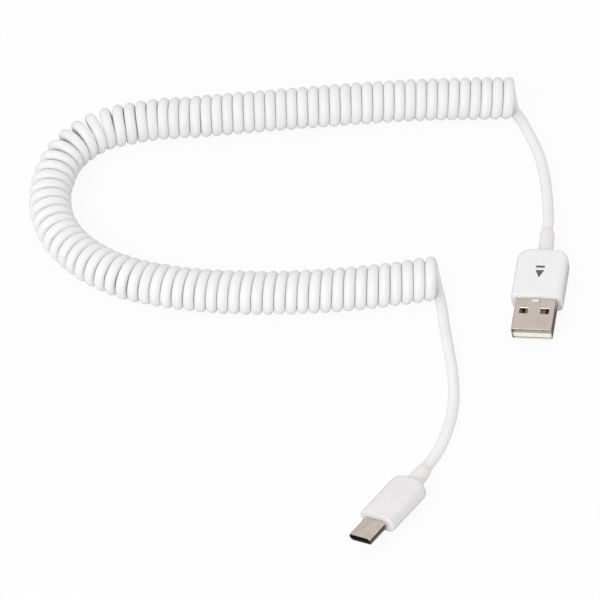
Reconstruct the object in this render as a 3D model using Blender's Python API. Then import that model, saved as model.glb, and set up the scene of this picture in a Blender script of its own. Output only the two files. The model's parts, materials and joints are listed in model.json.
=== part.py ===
"""Coiled charging cable with a USB-A plug and a USB-C plug, lying on a table.

The origin is the middle of the flat underside of the USB-A housing and +Z is up. The USB-A
plug points along -Y and the table is z = 0. Sizes here are in millimetres. The mesh and
curve makers turn them into metres.

Each plug is modelled in its own frame: x across its width, y backwards from the front face
of the housing (so the mating end is at negative y), z up through its thickness.
"""

import math

import bmesh
import bpy
from mathutils import Euler, Matrix, Vector

MM = 0.001
FIT = 0.04  # between pieces that seat in one another
CORD_GAP = 0.3  # between a cord's solid and what it meets

# The cable.
CABLE_DIAMETER = 3.3
CORE_DIAMETER = 0.8
JACKET_BORE = 2.3
COIL_DIAMETER = 13.3
COIL_HEIGHT = COIL_DIAMETER / 2 + FIT  # of its axis, over the table

# The coil's axis, seen from above, from its USB-A end round the bend to its USB-C end.
COIL_ROUTE = [
    (-17.3, 69.45),
    (-47.0, 67.85),
    (-85.0, 63.35),
    (-116.0, 58.95),
    (-136.0, 56.05),
    (-149.5, 50.85),
    (-156.6, 42.45),
    (-158.9, 31.15),
    (-157.2, 19.65),
    (-151.5, 9.05),
    (-142.0, 0.25),
    (-129.0, -6.55),
    (-112.0, -10.35),
    (-90.0, -11.55),
    (-68.0, -10.25),
    (-47.0, -7.05),
    (-30.5, -3.25),
]
TOP_RUN_LENGTH = 96.0
LOWER_RUN_LENGTH = 62.0
COIL_STEP = 5.0

# The straight ends of the cable, from the coil to each plug's strain relief. Each point is
# (x, y, height of the cable's centre). The last stretch up to the strain relief follows from
# the plug's own place.
USB_A_TAIL_ROUTE = [
    (-14.2, 63.55, 1.7),
    (-11.0, 57.65, 1.7),
    (-8.1, 52.05, 1.7),
    (-6.0, 46.45, 1.7),
    (-4.4, 41.05, 1.7),
    (-3.1, 35.65, 2.0),
    (-2.1, 30.65, 2.5),
    (-1.3, 26.15, 3.0),
    (-0.7, 22.45, 3.4),
]
USB_C_TAIL_ROUTE = [
    (-28.9, -9.35, 1.7),
    (-26.5, -18.05, 1.7),
    (-24.0, -26.35, 1.7),
    (-21.7, -34.35, 1.7),
    (-20.1, -42.35, 1.7),
    (-19.6, -50.35, 1.7),
    (-20.3, -56.95, 1.7),
    (-21.3, -62.15, 2.0),
]
TAIL_STEP = 5.0
STRAIGHT_ARRIVAL = 2.0  # of cable, in line with the plug, before its relief

# The USB-A plug.
A_SHELL_WIDTH = 12.0
A_SHELL_HEIGHT = 4.5
A_HOUSING_COVER = 1.4  # of housing over the shell, and under it
A_HOUSING_WIDTH = 15.2
A_HOUSING_HEIGHT = A_SHELL_HEIGHT + 2 * A_HOUSING_COVER
A_HOUSING_LENGTH = 18.0
A_HOUSING_EDGE = 1.9
A_HOUSING_REAR_CORNER = 3.4
A_HOUSING_REAR_EDGE = 0.8
A_HOUSING_WALL = 1.0
A_SHELL_WALL = 0.3
A_SHELL_CORNER = 0.6
A_SHELL_EXPOSED = 11.6
A_SHELL_BURIED = 6.0
A_WINDOW_WIDTH = 2.5
A_WINDOW_LENGTH = 2.0
A_WINDOW_OFFSET = 3.1
A_WINDOW_FROM_HOUSING = 4.7
A_TONGUE_THICKNESS = 1.9
A_TONGUE_RECESS = 0.4
A_TONGUE_NOSE = 1.0
A_TONGUE_TAIL = 2.0
A_TONGUE_CHAMFER = 0.35
A_CONTACT_PLACES = {
    "power": (-3.5, 0.2),
    "data_minus": (-1.0, 1.2),
    "data_plus": (1.0, 1.2),
    "ground": (3.5, 0.2),
}
A_CONTACT_WIDTH = 1.0
A_CONTACT_THICKNESS = 0.25
A_CONTACT_TAIL = 4.6
A_SHIELD_INSET = 0.05  # of the shield's outside from the shell's, above and below
A_SHIELD_WIDTH = 11.6
A_SHIELD_HEIGHT = A_SHELL_HEIGHT - 2 * A_SHIELD_INSET
A_SHIELD_CORNER = 0.7
A_CRIMP_SETBACK = 0.8  # from the crimp to the strain relief
A_RELIEF_LENGTH = 9.8
A_RELIEF_BASE_WALL = 0.6
A_RELIEF_END_WALL = 0.5

# The USB-C plug.
C_HOUSING_WIDTH = 12.0
C_HOUSING_HEIGHT = 5.9
C_HOUSING_LENGTH = 16.9
C_HOUSING_EDGE = 2.5
C_HOUSING_REAR_CORNER = 2.4
C_HOUSING_REAR_EDGE = 0.5
C_HOUSING_WALL = 0.65
C_SHELL_WIDTH = 8.25
C_SHELL_HEIGHT = 2.4
C_SHELL_WALL = 0.27
C_SHELL_EXPOSED = 7.65
C_SHELL_BURIED = 4.0
C_MOUTH_WIDTH = 6.9
C_MOUTH_HEIGHT = 0.94
C_MOUTH_DEPTH = 5.4
C_INSULATOR_RECESS = 0.35
C_INSULATOR_TAIL = 2.0
C_CONTACT_PITCH = 0.5
C_CONTACT_WIDTH = 0.26
C_CONTACT_THICKNESS = 0.1
C_CONTACT_SETBACK = 0.9
C_UPPER_CONTACTS = (1, 4, 5, 6, 7, 9, 12)
C_LOWER_CONTACTS = (1, 4, 5, 9, 12)
C_CONTACT_COUNT = 12
C_LATCH_THICKNESS = 0.15
C_LATCH_HEIGHT = 0.5
C_BOARD_WIDTH = 6.6
C_BOARD_SETBACK = 1.4  # from the board to the shield's shoulder
C_BOARD_THICKNESS = 0.6
C_RESISTOR = (0.6, 1.0, 0.35)
C_SHIELD_WIDTH = 9.4
C_SHIELD_HEIGHT = 4.2
C_SHIELD_CORNER = 1.9
C_CRIMP_SETBACK = 1.4  # from the crimp to the strain relief
C_RELIEF_LENGTH = 7.1
C_RELIEF_BASE_WALL = 0.8
C_RELIEF_END_WALL = 0.55

# Where the USB-C plug lies: the middle of its housing's front face, and its turn, pitch and
# roll in degrees. The stiff cable holds its nose up and rolls it onto one rear corner.
C_PLUG_PLACE = (-34.15, -90.84, 5.9)
C_PLUG_TURN = -26.7
C_PLUG_PITCH = -7.0
C_PLUG_ROLL = -18.3

# Shared by both plugs.
SHIELD_WALL = 0.25
CRIMP_GAP = 0.2  # between the crimp and the jacket
CRIMP_LENGTH = 2.4
SHOULDER_LENGTH = 1.6  # from the shield's full section to its crimp
RELIEF_END_ROUNDING = 0.35
FRONT_EDGE = 0.4  # round the front face of each housing
CORE_PITCH = 0.92
SOLDERED_LENGTH = 1.5  # of each core, over its contact or the board
JACKET_LEAD = 0.3  # of jacket in front of the crimp
CORNER_STEPS = 5

WHITE_PLASTIC = ("white_plastic", (0.86, 0.86, 0.86), 0.28, 0.0)
WHITE_RELIEF = ("white_relief", (0.80, 0.79, 0.80), 0.5, 0.0)
WHITE_JACKET = ("white_jacket", (0.84, 0.84, 0.85), 0.42, 0.0)
NICKEL = ("nickel", (0.60, 0.57, 0.54), 0.3, 1.0)
CREAM_PLASTIC = ("cream_plastic", (0.82, 0.79, 0.70), 0.45, 0.0)
BLACK_PLASTIC = ("black_plastic", (0.02, 0.02, 0.02), 0.4, 0.0)
GOLD = ("gold", (0.83, 0.62, 0.24), 0.25, 1.0)
STEEL = ("steel", (0.56, 0.56, 0.57), 0.35, 1.0)
BOARD_GREEN = ("board_green", (0.03, 0.16, 0.08), 0.5, 0.0)
CORE_COLOURS = {
    "power": ("core_red", (0.60, 0.03, 0.03), 0.45, 0.0),
    "data_minus": ("core_white", (0.80, 0.80, 0.78), 0.45, 0.0),
    "data_plus": ("core_green", (0.04, 0.35, 0.10), 0.45, 0.0),
    "ground": ("core_black", (0.03, 0.03, 0.03), 0.45, 0.0),
}
# Where each core sits in the cable, as steps of half CORE_PITCH across and up.
CORE_CORNERS = {
    "power": (-1, 1),
    "data_minus": (-1, -1),
    "data_plus": (1, -1),
    "ground": (1, 1),
}


def clear_scene():
    for found in list(bpy.data.objects):
        bpy.data.objects.remove(found, do_unlink=True)


def material(spec):
    """The material of this (name, colour, roughness, metallic), made once."""
    name, colour, roughness, metallic = spec
    made = bpy.data.materials.get(name)
    if made:
        return made
    made = bpy.data.materials.new(name)
    made.use_nodes = True
    shader = made.node_tree.nodes["Principled BSDF"]
    shader.inputs["Base Color"].default_value = (*colour, 1.0)
    shader.inputs["Roughness"].default_value = roughness
    shader.inputs["Metallic"].default_value = metallic
    made.diffuse_color = (*colour, 1.0)
    return made


def new_empty(name, place, parent=None, rotation=None):
    empty = bpy.data.objects.new(name, None)
    bpy.context.scene.collection.objects.link(empty)
    empty.empty_display_size = 0.005
    empty.parent = parent
    empty.location = Vector(place) * MM
    if rotation is not None:
        empty.rotation_mode = "QUATERNION"
        empty.rotation_quaternion = rotation.to_quaternion()
    return empty


def add_object(name, data, spec, parent):
    made = bpy.data.objects.new(name, data)
    made.data.materials.append(material(spec))
    bpy.context.scene.collection.objects.link(made)
    made.parent = parent
    return made


def rounded_rectangle(width, height, corner):
    """(x, z) points round a rectangle with round corners, as many for every size."""
    corner = min(corner, width / 2 - 0.01, height / 2 - 0.01)
    across = width / 2 - corner
    up = height / 2 - corner
    centres = [(across, up), (-across, up), (-across, -up), (across, -up)]
    points = []
    for quarter, (x, z) in enumerate(centres):
        for step in range(CORNER_STEPS):
            angle = math.radians(90 * (quarter + step / (CORNER_STEPS - 1)))
            points.append((x + corner * math.cos(angle), z + corner * math.sin(angle)))
    return points


def circle(diameter):
    """A circle with as many points as rounded_rectangle gives."""
    return rounded_rectangle(diameter, diameter, diameter / 2)


def loft(name, stations, spec, parent, hollow=False):
    """A solid through outlines placed along y. stations holds (y, outline) pairs.

    A hollow one closes on its first outline, and any other has a cap at each end.
    """
    shape = bmesh.new()
    rings = []
    for y, outline in stations:
        rings.append([shape.verts.new(Vector((x, y, z)) * MM) for x, z in outline])
    pairs = list(zip(rings, rings[1:]))
    if hollow:
        pairs.append((rings[-1], rings[0]))
    else:
        shape.faces.new(rings[0])
        shape.faces.new(rings[-1])
    count = len(rings[0])
    for first, second in pairs:
        for i in range(count):
            j = (i + 1) % count
            shape.faces.new((first[i], first[j], second[j], second[i]))
    bmesh.ops.recalc_face_normals(shape, faces=shape.faces)
    mesh = bpy.data.meshes.new(name)
    shape.to_mesh(mesh)
    shape.free()
    mesh.shade_smooth()
    mesh.set_sharp_from_angle(angle=math.radians(35))
    return add_object(name, mesh, spec, parent)


def block(name, low, high, spec, parent):
    """A plain box between two corners."""
    outline = [(low[0], low[2]), (high[0], low[2]), (high[0], high[2]), (low[0], high[2])]
    return loft(name, [(low[1], outline), (high[1], outline)], spec, parent)


def smooth_route(points, step):
    """Points about step apart on a smooth curve through the given ones."""
    knots = [Vector(point) for point in points]
    gaps = [(b - a).length for a, b in zip(knots, knots[1:])]
    slopes = [(b - a) / gap for a, b, gap in zip(knots, knots[1:], gaps)]
    tangents = [slopes[0]]
    for before, after, near, far in zip(slopes, slopes[1:], gaps, gaps[1:]):
        tangents.append((before * far + after * near) / (near + far))
    tangents.append(slopes[-1])
    dense = []
    for i, gap in enumerate(gaps):
        for k in range(24):
            t = k / 24
            start = knots[i] * (2 * t**3 - 3 * t**2 + 1) + tangents[i] * gap * (t**3 - 2 * t**2 + t)
            end = knots[i + 1] * (3 * t**2 - 2 * t**3) + tangents[i + 1] * gap * (t**3 - t**2)
            dense.append(start + end)
    dense.append(knots[-1])
    return even_points(dense, step)


def route_length(points):
    return sum((b - a).length for a, b in zip(points, points[1:]))


def even_points(points, step):
    """The same line with its points evenly spaced, about step apart."""
    count = max(2, round(route_length(points) / step))
    return [point_along(points, route_length(points) * i / count) for i in range(count + 1)]


def point_along(points, distance):
    for a, b in zip(points, points[1:]):
        stretch = (b - a).length
        if distance <= stretch:
            return a.lerp(b, distance / stretch)
        distance -= stretch
    return points[-1].copy()


def stretch_of(points, start, end, step):
    """Evenly spaced points of the line from start to end, both measured along it."""
    count = max(2, round((end - start) / step))
    return [point_along(points, start + (end - start) * i / count) for i in range(count + 1)]


def tube(name, points, diameter, spec, parent, resolution=2):
    """A round tube with closed ends along the points."""
    curve = bpy.data.curves.new(name, "CURVE")
    curve.dimensions = "3D"
    curve.bevel_depth = diameter / 2 * MM
    curve.bevel_resolution = resolution
    curve.use_fill_caps = True
    curve.twist_mode = "MINIMUM"
    spline = curve.splines.new("POLY")
    spline.points.add(len(points) - 1)
    for slot, point in zip(spline.points, points):
        slot.co = (*(Vector(point) * MM), 1.0)
    spline.use_smooth = True
    return add_object(name, curve, spec, parent)


def housing(name, size, spec, parent):
    """A plug's white body: hollow, closed round the shell in front and the relief behind."""
    width, height, length = size["width"], size["height"], size["length"]
    edge, wall = size["edge"], size["wall"]
    corner, rear_edge = size["rear_corner"], size["rear_edge"]
    hole = circle(size["relief"] + 2 * FIT)
    stations = [
        (0.0, rounded_rectangle(width - 2 * FRONT_EDGE, height - 2 * FRONT_EDGE, edge)),
        (FRONT_EDGE, rounded_rectangle(width, height, edge)),
    ]
    for degrees in (0, 22.5, 45, 67.5, 90):
        angle = math.radians(degrees)
        inset = corner * (1 - math.cos(angle))
        drop = rear_edge * (1 - math.cos(angle))
        outline = rounded_rectangle(width - 2 * inset, height - 2 * drop, edge)
        stations.append((length - corner * (1 - math.sin(angle)), outline))
    inner_width = width - 2 * wall
    inner_height = height - 2 * wall
    inner = rounded_rectangle(inner_width, inner_height, edge - wall / 2)
    narrow = rounded_rectangle(inner_width - 2 * wall, inner_height, edge - wall / 2)
    stations += [
        (length, hole),
        (length - 2 * wall, hole),
        (length - 2 * wall, narrow),
        (length - wall - corner, inner),
        (wall, inner),
        (wall, size["mouth"]),
        (0.0, size["mouth"]),
    ]
    return loft(name, stations, spec, parent, hollow=True)


def sleeve(name, start, end, outer, inner, spec, parent):
    """A straight tube of any outline, open at both ends."""
    stations = [(start, outer), (end, outer), (end, inner), (start, inner)]
    return loft(name, stations, spec, parent, hollow=True)


def shield(name, start, end, size, spec, parent):
    """Formed sheet behind the shell, narrowing to a barrel crimped on the cable's jacket.

    Returns where the barrel starts.
    """
    width, height, corner = size["width"], size["height"], size["corner"]
    barrel = end - CRIMP_LENGTH
    shoulder = barrel - SHOULDER_LENGTH
    inner_width = width - 2 * SHIELD_WALL
    inner_height = height - 2 * SHIELD_WALL
    bore = CABLE_DIAMETER + 2 * CRIMP_GAP
    stations = [
        (start, rounded_rectangle(width, height, corner)),
        (shoulder, rounded_rectangle(width, height, corner)),
        (barrel, circle(bore + 2 * SHIELD_WALL)),
        (end, circle(bore + 2 * SHIELD_WALL)),
        (end, circle(bore)),
        (barrel, circle(bore)),
        (shoulder, rounded_rectangle(inner_width, inner_height, corner - SHIELD_WALL)),
        (start, rounded_rectangle(inner_width, inner_height, corner - SHIELD_WALL)),
    ]
    loft(name, stations, spec, parent, hollow=True)
    return barrel


def strain_relief(name, start, exit_face, length, walls, parent):
    """The soft sleeve where the cable leaves the housing, slightly tapered."""
    base, tip = (CABLE_DIAMETER + 2 * wall for wall in walls)
    bore = circle(CABLE_DIAMETER + 2 * FIT)
    end = exit_face + length
    middle = exit_face + length / 2
    stations = [
        (start, circle(base)),
        (exit_face, circle(base)),
        (middle, circle((base + tip) / 2)),
        (end - RELIEF_END_ROUNDING, circle(tip)),
        (end, circle(tip - 2 * RELIEF_END_ROUNDING)),
        (end, bore),
        (middle, bore),
        (start, bore),
    ]
    loft(name, stations, WHITE_RELIEF, parent, hollow=True)


def cable_end(prefix, start, end, parent):
    """The stretch of jacket held inside the plug."""
    jacket = circle(CABLE_DIAMETER)
    bore = circle(JACKET_BORE)
    sleeve(f"{prefix}_cable_end", start, end, jacket, bore, WHITE_JACKET, parent)


def cores(prefix, joints, start, clear, jacket_start, end, parent):
    """Four insulated cores from their solder joints into the jacket.

    joints holds the (x, z) of each. A core runs straight back from start to clear, then
    closes in on its place in the jacket.
    """
    gather = jacket_start - CORE_DIAMETER / 2
    for role, (x, z) in joints.items():
        across, up = CORE_CORNERS[role]
        target_x = across * CORE_PITCH / 2
        target_z = up * CORE_PITCH / 2
        points = [(x, start, z)]
        for share in (0, 0.25, 0.5, 0.75, 1):
            eased = share * share * (3 - 2 * share)
            y = clear + (gather - clear) * share
            points.append((x + (target_x - x) * eased, y, z + (target_z - z) * eased))
        points.append((target_x, end, target_z))
        tube(f"{prefix}_core_{role}", points, CORE_DIAMETER, CORE_COLOURS[role], parent)


def cut(target, cutter_name, low_high_pairs):
    """Cuts boxes out of target."""
    shape = bmesh.new()
    for low, high in low_high_pairs:
        middle = (Vector(low) + Vector(high)) / 2 * MM
        size = (Vector(high) - Vector(low)) * MM
        matrix = Matrix.Translation(middle) @ Matrix.Diagonal((*size, 1.0))
        bmesh.ops.create_cube(shape, size=1.0, matrix=matrix)
    mesh = bpy.data.meshes.new(cutter_name)
    shape.to_mesh(mesh)
    shape.free()
    cutter = bpy.data.objects.new(cutter_name, mesh)
    bpy.context.scene.collection.objects.link(cutter)
    cutter.parent = target.parent
    cutter.hide_render = True
    cutter.display_type = "WIRE"
    boolean = target.modifiers.new("windows", "BOOLEAN")
    boolean.operation = "DIFFERENCE"
    boolean.solver = "EXACT"
    boolean.object = cutter


def usb_a_shell(parent):
    outer = rounded_rectangle(A_SHELL_WIDTH, A_SHELL_HEIGHT, A_SHELL_CORNER)
    inner = rounded_rectangle(
        A_SHELL_WIDTH - 2 * A_SHELL_WALL,
        A_SHELL_HEIGHT - 2 * A_SHELL_WALL,
        A_SHELL_CORNER - A_SHELL_WALL / 2,
    )
    shell = sleeve(
        "usb_a_shell", -A_SHELL_EXPOSED, A_SHELL_BURIED, outer, inner, NICKEL, parent
    )
    windows = []
    for side in (-1, 1):
        middle = side * A_WINDOW_OFFSET
        low_x, high_x = middle - A_WINDOW_WIDTH / 2, middle + A_WINDOW_WIDTH / 2
        low_y = -A_WINDOW_FROM_HOUSING - A_WINDOW_LENGTH / 2
        reach = A_SHELL_HEIGHT
        windows.append(((low_x, low_y, -reach), (high_x, low_y + A_WINDOW_LENGTH, reach)))
    cut(shell, "usb_a_window_cutter", windows)


def usb_a_tongue_outline(groove):
    """The contact carrier's section, with its four contact grooves this deep."""
    half = A_SHELL_WIDTH / 2 - A_SHELL_WALL - FIT
    low = -A_SHELL_HEIGHT / 2 + A_SHELL_WALL + FIT
    top = low + A_TONGUE_THICKNESS
    points = [(half - A_TONGUE_CHAMFER, low), (half, low + A_TONGUE_CHAMFER), (half, top)]
    for x, _ in sorted(A_CONTACT_PLACES.values(), reverse=True):
        reach = A_CONTACT_WIDTH / 2 + FIT
        points += [
            (x + reach, top),
            (x + reach, top - groove),
            (x - reach, top - groove),
            (x - reach, top),
        ]
    points += [(-half, top), (-half, low + A_TONGUE_CHAMFER), (-half + A_TONGUE_CHAMFER, low)]
    return points


def usb_a_tongue(parent):
    """The contact carrier and its four contacts, low in the mouth."""
    groove = A_CONTACT_THICKNESS + FIT
    nose = -A_SHELL_EXPOSED + A_TONGUE_RECESS
    plain = usb_a_tongue_outline(0.02)
    grooved = usb_a_tongue_outline(groove)
    stations = [
        (nose, plain),
        (nose + A_TONGUE_NOSE, plain),
        (nose + A_TONGUE_NOSE, grooved),
        (A_TONGUE_TAIL, grooved),
    ]
    loft("usb_a_tongue", stations, CREAM_PLASTIC, parent)
    top = -A_SHELL_HEIGHT / 2 + A_SHELL_WALL + FIT + A_TONGUE_THICKNESS
    for role, (x, setback) in A_CONTACT_PLACES.items():
        low = (x - A_CONTACT_WIDTH / 2, nose + A_TONGUE_NOSE + setback, top - A_CONTACT_THICKNESS)
        high = (x + A_CONTACT_WIDTH / 2, A_CONTACT_TAIL, top)
        block(f"usb_a_contact_{role}", low, high, GOLD, parent)
    return top


def build_usb_a(parent):
    size = {
        "width": A_HOUSING_WIDTH,
        "height": A_HOUSING_HEIGHT,
        "length": A_HOUSING_LENGTH,
        "edge": A_HOUSING_EDGE,
        "wall": A_HOUSING_WALL,
        "rear_corner": A_HOUSING_REAR_CORNER,
        "rear_edge": A_HOUSING_REAR_EDGE,
        "relief": CABLE_DIAMETER + 2 * A_RELIEF_BASE_WALL,
        "mouth": rounded_rectangle(
            A_SHELL_WIDTH + 2 * FIT, A_SHELL_HEIGHT + 2 * FIT, A_SHELL_CORNER + FIT
        ),
    }
    housing("usb_a_housing", size, WHITE_PLASTIC, parent)
    usb_a_shell(parent)
    contact_top = usb_a_tongue(parent)
    relief_start = A_HOUSING_LENGTH - 2 * A_HOUSING_WALL + FIT
    shield_start = A_SHELL_BURIED + FIT
    shield_end = relief_start - A_CRIMP_SETBACK
    shield_size = {
        "width": A_SHIELD_WIDTH,
        "height": A_SHIELD_HEIGHT,
        "corner": A_SHIELD_CORNER,
    }
    barrel = shield("usb_a_rear_shield", shield_start, shield_end, shield_size, STEEL, parent)
    jacket_start = barrel - JACKET_LEAD
    end = A_HOUSING_LENGTH + A_RELIEF_LENGTH
    cable_end("usb_a", jacket_start, end - FIT, parent)
    walls = (A_RELIEF_BASE_WALL, A_RELIEF_END_WALL)
    name = "usb_a_strain_relief"
    strain_relief(name, relief_start, A_HOUSING_LENGTH, A_RELIEF_LENGTH, walls, parent)
    height = contact_top + FIT + CORE_DIAMETER / 2
    joints = {role: (x, height) for role, (x, _) in A_CONTACT_PLACES.items()}
    start = A_CONTACT_TAIL - SOLDERED_LENGTH
    core_end = A_HOUSING_LENGTH + A_RELIEF_LENGTH / 4
    cores("usb_a", joints, start, A_CONTACT_TAIL + FIT, jacket_start, core_end, parent)


def usb_c_contacts(parent):
    """Contact beams on the roof and the floor of the mouth."""
    front = -C_SHELL_EXPOSED + C_INSULATOR_RECESS + C_CONTACT_SETBACK
    back = -C_SHELL_EXPOSED + C_INSULATOR_RECESS + C_MOUTH_DEPTH - FIT
    outer = C_MOUTH_HEIGHT / 2 - FIT / 2
    inner = outer - C_CONTACT_THICKNESS
    rows = {"upper": (C_UPPER_CONTACTS, inner, outer), "lower": (C_LOWER_CONTACTS, -outer, -inner)}
    for row, (numbers, low_z, high_z) in rows.items():
        for number in numbers:
            x = (number - (C_CONTACT_COUNT + 1) / 2) * C_CONTACT_PITCH
            low = (x - C_CONTACT_WIDTH / 2, front, low_z)
            high = (x + C_CONTACT_WIDTH / 2, back, high_z)
            block(f"usb_c_{row}_contact_{number:02d}", low, high, GOLD, parent)


def usb_c_latches(parent):
    """The two side springs that click into a socket's tongue."""
    front = -C_SHELL_EXPOSED + C_INSULATOR_RECESS + C_CONTACT_SETBACK / 2
    back = -C_SHELL_EXPOSED + C_INSULATOR_RECESS + C_MOUTH_DEPTH - FIT
    outer = C_MOUTH_WIDTH / 2 - FIT
    for side, name in ((-1, "left"), (1, "right")):
        low_x, high_x = sorted((side * outer, side * (outer - C_LATCH_THICKNESS)))
        low = (low_x, front, -C_LATCH_HEIGHT / 2)
        high = (high_x, back, C_LATCH_HEIGHT / 2)
        block(f"usb_c_latch_{name}", low, high, STEEL, parent)


def usb_c_insulator(parent):
    width = C_SHELL_WIDTH - 2 * C_SHELL_WALL - 2 * FIT
    height = C_SHELL_HEIGHT - 2 * C_SHELL_WALL - 2 * FIT
    outer = rounded_rectangle(width, height, height / 2)
    mouth = rounded_rectangle(C_MOUTH_WIDTH, C_MOUTH_HEIGHT, 0.12)
    front = -C_SHELL_EXPOSED + C_INSULATOR_RECESS
    stations = [
        (front + C_MOUTH_DEPTH, mouth),
        (front, mouth),
        (front, outer),
        (C_INSULATOR_TAIL, outer),
    ]
    loft("usb_c_insulator", stations, BLACK_PLASTIC, parent)


def usb_c_board(back, parent):
    """The small circuit board with its pull-up resistor."""
    front = C_INSULATOR_TAIL + FIT
    half = C_BOARD_WIDTH / 2
    top = C_BOARD_THICKNESS / 2
    block("usb_c_board", (-half, front, -top), (half, back, top), BOARD_GREEN, parent)
    across, along, up = C_RESISTOR
    low = (-across / 2, C_SHELL_BURIED + 0.6, top + FIT / 2)
    high = (across / 2, C_SHELL_BURIED + 0.6 + along, top + FIT / 2 + up)
    block("usb_c_resistor", low, high, BLACK_PLASTIC, parent)


def build_usb_c(parent):
    shell_corner = C_SHELL_HEIGHT / 2
    size = {
        "width": C_HOUSING_WIDTH,
        "height": C_HOUSING_HEIGHT,
        "length": C_HOUSING_LENGTH,
        "edge": C_HOUSING_EDGE,
        "wall": C_HOUSING_WALL,
        "rear_corner": C_HOUSING_REAR_CORNER,
        "rear_edge": C_HOUSING_REAR_EDGE,
        "relief": CABLE_DIAMETER + 2 * C_RELIEF_BASE_WALL,
        "mouth": rounded_rectangle(
            C_SHELL_WIDTH + 2 * FIT, C_SHELL_HEIGHT + 2 * FIT, shell_corner + FIT
        ),
    }
    housing("usb_c_housing", size, WHITE_PLASTIC, parent)
    outer = rounded_rectangle(C_SHELL_WIDTH, C_SHELL_HEIGHT, shell_corner)
    inner_height = C_SHELL_HEIGHT - 2 * C_SHELL_WALL
    inner = rounded_rectangle(C_SHELL_WIDTH - 2 * C_SHELL_WALL, inner_height, inner_height / 2)
    sleeve("usb_c_shell", -C_SHELL_EXPOSED, C_SHELL_BURIED, outer, inner, NICKEL, parent)
    usb_c_insulator(parent)
    usb_c_contacts(parent)
    usb_c_latches(parent)
    relief_start = C_HOUSING_LENGTH - 2 * C_HOUSING_WALL + FIT
    shield_start = C_SHELL_BURIED + FIT
    shield_end = relief_start - C_CRIMP_SETBACK
    shield_size = {
        "width": C_SHIELD_WIDTH,
        "height": C_SHIELD_HEIGHT,
        "corner": C_SHIELD_CORNER,
    }
    barrel = shield("usb_c_rear_shield", shield_start, shield_end, shield_size, STEEL, parent)
    board_back = barrel - SHOULDER_LENGTH - C_BOARD_SETBACK
    usb_c_board(board_back, parent)
    jacket_start = barrel - JACKET_LEAD
    end = C_HOUSING_LENGTH + C_RELIEF_LENGTH
    cable_end("usb_c", jacket_start, end - FIT, parent)
    walls = (C_RELIEF_BASE_WALL, C_RELIEF_END_WALL)
    name = "usb_c_strain_relief"
    strain_relief(name, relief_start, C_HOUSING_LENGTH, C_RELIEF_LENGTH, walls, parent)
    # Two cores are soldered to each face of the board.
    height = C_BOARD_THICKNESS / 2 + FIT + CORE_DIAMETER / 2
    joints = {}
    for role, (across, up) in CORE_CORNERS.items():
        joints[role] = (across * C_BOARD_WIDTH / 4, up * height)
    start = board_back - SOLDERED_LENGTH
    core_end = C_HOUSING_LENGTH + C_RELIEF_LENGTH / 4
    cores("usb_c", joints, start, board_back + FIT, jacket_start, core_end, parent)


def build_coil():
    """The curly part as three fat tubes of the coil's outside size, end to end."""
    axis = smooth_route([(x, y, COIL_HEIGHT) for x, y in COIL_ROUTE], 1.0)
    total = route_length(axis)
    spans = {
        "coil_top_run": (0.0, TOP_RUN_LENGTH),
        "coil_bend": (TOP_RUN_LENGTH + CORD_GAP, total - LOWER_RUN_LENGTH - CORD_GAP),
        "coil_lower_run": (total - LOWER_RUN_LENGTH, total),
    }
    for name, (start, end) in spans.items():
        points = stretch_of(axis, start, end, COIL_STEP)
        tube(name, points, COIL_DIAMETER, WHITE_JACKET, None, resolution=4)


def build_tail(name, route, plug_frame, plug_end, parent):
    """One straight end of the cable, up to the face of its plug's strain relief."""
    bpy.context.view_layer.update()
    to_table = plug_frame.matrix_world
    arrival = []
    for back in (STRAIGHT_ARRIVAL, CORD_GAP):
        arrival.append(to_table @ (Vector((0, plug_end + back, 0)) * MM) / MM)
    points = smooth_route(list(route) + [tuple(arrival[0])], TAIL_STEP)
    points.append(arrival[1])
    return tube(name, points, CABLE_DIAMETER, WHITE_JACKET, parent)


def main():
    clear_scene()
    build_coil()

    # The USB-A end slides away from the coil as it stretches, and its plug swings at the
    # middle of the strain relief.
    slide_place = Vector((*COIL_ROUTE[0], COIL_HEIGHT))
    slide = new_empty("coil_stretch", slide_place)
    a_height = A_HOUSING_HEIGHT / 2
    a_front = Vector((0.0, -A_HOUSING_LENGTH / 2, a_height))
    a_pivot = a_front + Vector((0, A_HOUSING_LENGTH + A_RELIEF_LENGTH / 2, 0))
    a_swing = new_empty("usb_a_swing", a_pivot - slide_place, slide)
    a_frame = new_empty("usb_a_frame", a_front - a_pivot, a_swing)
    build_usb_a(a_frame)
    a_end = A_HOUSING_LENGTH + A_RELIEF_LENGTH
    a_tail = build_tail("cable_usb_a_tail", USB_A_TAIL_ROUTE, a_frame, a_end, None)
    a_tail.parent = slide
    a_tail.matrix_parent_inverse = slide.matrix_world.inverted()

    # The USB-C plug swings at the middle of its strain relief, about an upright axis.
    angles = [math.radians(angle) for angle in (C_PLUG_PITCH, C_PLUG_ROLL, C_PLUG_TURN)]
    c_turn = Euler(angles, "YXZ").to_matrix().to_4x4()
    c_place = Vector(C_PLUG_PLACE)
    c_pivot = c_place + c_turn @ Vector((0, C_HOUSING_LENGTH + C_RELIEF_LENGTH / 2, 0))
    c_swing = new_empty("usb_c_swing", c_pivot)
    c_frame = new_empty("usb_c_frame", c_place - c_pivot, c_swing, c_turn)
    build_usb_c(c_frame)
    c_end = C_HOUSING_LENGTH + C_RELIEF_LENGTH
    build_tail("cable_usb_c_tail", USB_C_TAIL_ROUTE, c_frame, c_end, None)


main()
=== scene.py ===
"""A coiled white charging cable with a USB-A plug and a USB-C plug, on a pale studio floor."""

import json
import math

import bmesh
import bpy
import numpy as np
from mathutils import Matrix, Vector


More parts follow.
